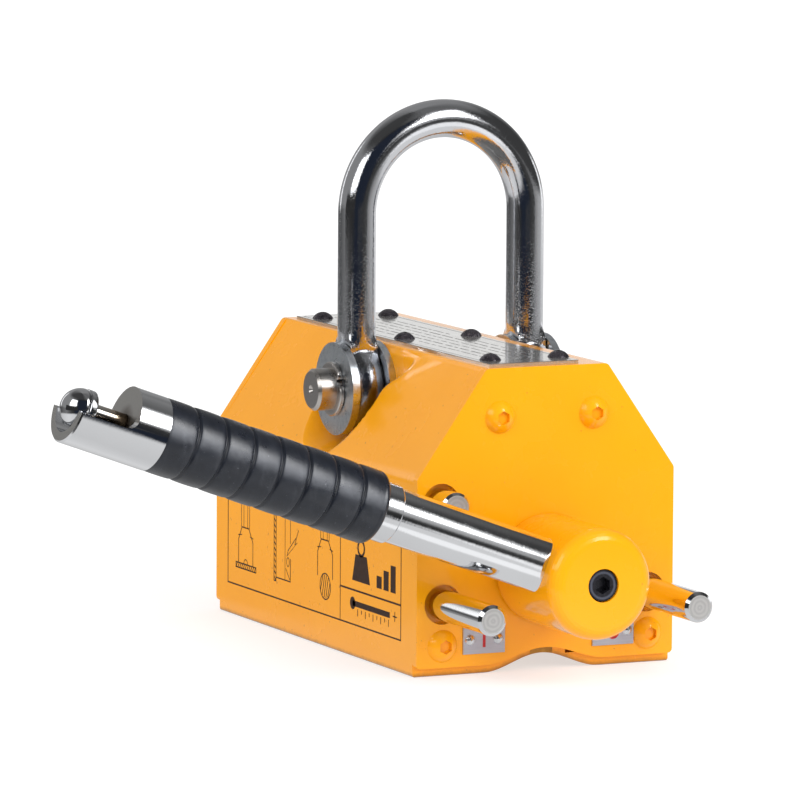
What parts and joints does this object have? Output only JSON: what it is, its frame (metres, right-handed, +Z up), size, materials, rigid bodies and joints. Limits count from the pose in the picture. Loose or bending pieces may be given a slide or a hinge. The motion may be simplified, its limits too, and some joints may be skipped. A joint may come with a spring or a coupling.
{
  "type": "permanent lifting magnet",
  "caption": "Hand-operated permanent lifting magnet with a V-grooved yellow body, a turning lever handle with thumb-released lock, and a swinging chromed shackle.",
  "frame": {"origin": "centre of the working face: on the plane of the pole faces, midway along and across the body", "axes": "+X along the body towards the handle, +Y across the body away from the labelled side, +Z up, out of the working face towards the shackle"},
  "size_m": [0.2069, 0.2278, 0.1793],
  "materials": {
    "paint": "glossy stove enamel with slight orange peel",
    "chrome": "bright chrome plate",
    "steel": "turned steel",
    "zinc": "dull zinc plate",
    "black_oxide": "black oxide",
    "brass": "machined",
    "magnet": "nickel plated",
    "rubber": "matte moulded",
    "label": "thin printed sheet"
  },
  "bodies": {
    "body": {"left_pole_shoe": "paint", "right_pole_shoe": "paint", "lower_pole_spacer": "brass", "upper_pole_spacer": "brass", "fixed_magnets": "magnet", "shackle_block": "zinc", "front_end_plate": "paint", "rear_end_plate": "paint", "front_bearing": "brass", "rear_bearing": "brass", "end_plate_screws": "paint", "left_stop_pin": "chrome", "right_stop_pin": "chrome", "safety_pin": "chrome", "name_plate": "label", "name_plate_screws": "black_oxide", "on_marker_plate": "label", "off_marker_plate": "label", "marker_rivets": "steel", "shackle_pin": "steel", "inner_washers": "zinc", "outer_washers": "zinc", "retaining_clips": "steel"},
    "rotor_and_handle": {"rotor_pole_left": "steel", "rotor_pole_right": "steel", "rotor_magnet": "magnet", "rotor_spacers": "brass", "rotor_front_flange": "steel", "rotor_rear_flange": "steel", "rotor_flange_screws": "black_oxide", "hub_key": "steel", "handle_hub": "paint", "hub_screw": "black_oxide", "handle_tube": "chrome", "rod_guide": "brass", "grip_sleeve": "chrome", "handle_grip": "rubber", "lock_spring": "steel"},
    "safety_lock": {"lock_rod": "chrome", "lock_knob": "chrome", "lock_key": "steel"},
    "shackle": {"shackle": "chrome"}
  },
  "joints": [
    {"name": "handle_turn", "type": "hinge", "parent": "body", "child": "rotor_and_handle", "pos_m": [0, 0, 0.0334], "axis": [-1, 0, 0], "range_deg": [-13, 153]},
    {"name": "lock_push", "type": "slide", "parent": "rotor_and_handle", "child": "safety_lock", "axis": [0, 0.9397, -0.342], "range_m": [0, 0.011], "stiffness_N_per_m": 400, "springref_m": -0.008, "deforming": ["lock_spring"]},
    {"name": "shackle_swing", "type": "hinge", "parent": "body", "child": "shackle", "pos_m": [0, 0, 0.0845], "axis": [0, 1, 0], "range_deg": [-55, 55]}
  ]
}
